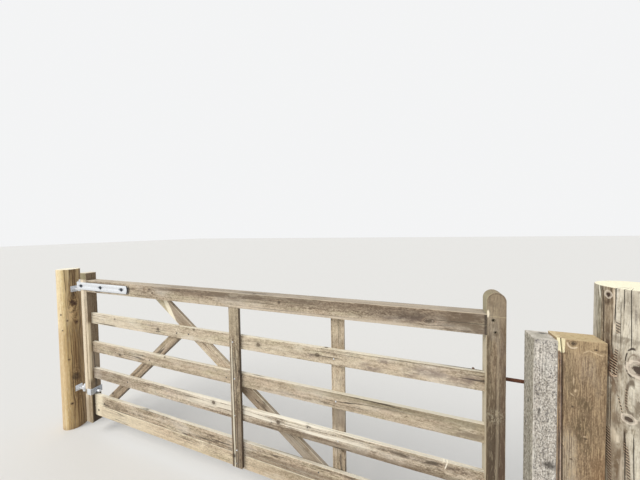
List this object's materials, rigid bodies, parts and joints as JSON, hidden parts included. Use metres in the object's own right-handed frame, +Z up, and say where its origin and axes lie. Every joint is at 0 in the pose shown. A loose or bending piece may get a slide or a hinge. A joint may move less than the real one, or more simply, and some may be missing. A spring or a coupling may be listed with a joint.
{
  "type": "wooden field gate with posts",
  "caption": "Weathered wooden bar gate hung on a round post, shut against squared timbers and a thick round post, with galvanised strap hinges and a latch bar.",
  "frame": {"origin": "centre of the hanging post's flat foot, at ground level", "axes": "+X along the closed gate from the hanging post to the shutting post, +Y to the field side, +Z up; the gate's middle plane is at Y = 0"},
  "size_m": [3.905, 0.236, 1.466],
  "materials": {
    "fresh_pole": "peeled, oiled look",
    "grey_timber": "weathered, lichen",
    "brown_timber": "weathered",
    "round_timber": "weathered, cracked",
    "gate_timber": "weathered",
    "galvanised": "galvanised",
    "dark_bolt": "dull",
    "rusty_iron": "rusty"
  },
  "bodies": {
    "posts": {"hanging_post": "fresh_pole", "grey_shutting_post": "grey_timber", "brown_shutting_post": "brown_timber", "thick_round_post": "round_timber", "top_hook": "galvanised", "top_hook_washers": "galvanised", "top_hook_nuts": "galvanised", "bottom_hook": "galvanised", "bottom_hook_washers": "galvanised", "bottom_hook_nuts": "galvanised"},
    "gate": {"hanging_stile": "gate_timber", "shutting_stile": "gate_timber", "top_rail": "gate_timber", "second_rail": "gate_timber", "third_rail": "gate_timber", "fourth_rail": "gate_timber", "fifth_rail": "gate_timber", "bottom_board": "gate_timber", "near_upright": "gate_timber", "far_upright": "gate_timber", "long_brace": "gate_timber", "short_brace": "gate_timber", "top_band": "galvanised", "band_bolts": "dark_bolt", "bottom_eye_bolt": "galvanised", "bottom_bracket": "galvanised", "bottom_eye_washer": "galvanised", "bottom_eye_nuts": "galvanised", "stile_staple": "rusty_iron", "rail_staple": "rusty_iron"},
    "latch": {"latch_bar": "rusty_iron"}
  },
  "joints": [
    {"name": "gate_swing", "type": "hinge", "parent": "posts", "child": "gate", "pos_m": [0.17, 0, 0.4], "axis": [0, 0, 1], "range_deg": [0, 120]},
    {"name": "latch_slide", "type": "slide", "parent": "gate", "child": "latch", "axis": [1, 0, 0], "range_m": [-0.15, 0]}
  ]
}
